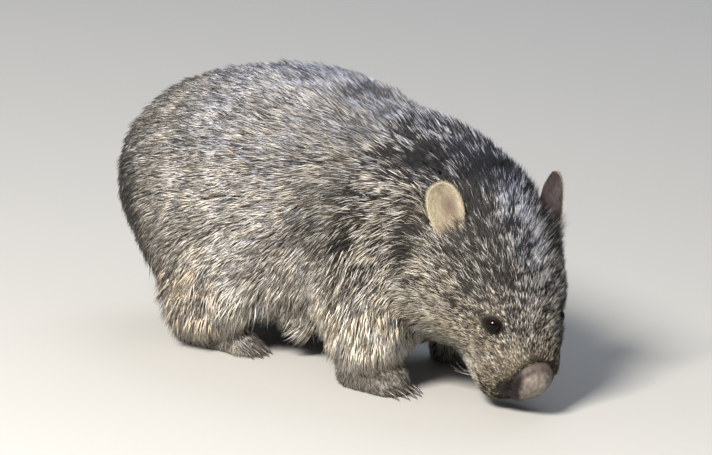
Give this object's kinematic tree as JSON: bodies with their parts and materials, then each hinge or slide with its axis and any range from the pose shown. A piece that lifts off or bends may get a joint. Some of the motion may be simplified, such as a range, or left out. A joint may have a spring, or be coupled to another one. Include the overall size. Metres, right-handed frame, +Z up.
{
  "type": "bare-nosed wombat, still life-size model",
  "caption": "Life-size still model of a grazing bare-nosed wombat, its head lowered and turned to its right.",
  "frame": {"origin": "on the floor, under the middle of the box round the whole animal", "axes": "+X the way the trunk faces, +Y the animal's left, +Z up"},
  "size_m": [0.627, 0.3106, 0.3311],
  "materials": {
    "coat": "grizzled grey-brown fur",
    "paleCoat": "paler short fur of the feet",
    "ear": "thinly furred skin",
    "nose": "bare granular skin",
    "eye": "wet dark brown",
    "claw": "satin horn"
  },
  "bodies": {
    "root": {"torso": "coat", "neck": "coat", "tail": "coat", "head": "coat", "lower_jaw": "coat", "nose_pad": "nose", "eye_right": "eye", "eye_left": "eye", "ear_right": "ear", "ear_left": "ear", "hindleg_right": "coat", "hindleg_left": "coat", "foreleg_right": "coat", "foreleg_left": "coat", "hindfoot_right": "paleCoat", "hindfoot_left": "paleCoat", "forefoot_right": "paleCoat", "forefoot_left": "paleCoat", "claw_hind_right_1": "claw", "claw_hind_right_2": "claw", "claw_hind_right_3": "claw", "claw_hind_right_4": "claw", "claw_hind_left_1": "claw", "claw_hind_left_2": "claw", "claw_hind_left_3": "claw", "claw_hind_left_4": "claw", "claw_fore_right_1": "claw", "claw_fore_right_2": "claw", "claw_fore_right_3": "claw", "claw_fore_right_4": "claw", "claw_fore_right_5": "claw", "claw_fore_left_1": "claw", "claw_fore_left_2": "claw", "claw_fore_left_3": "claw", "claw_fore_left_4": "claw", "claw_fore_left_5": "claw"}
  },
  "joints": []
}
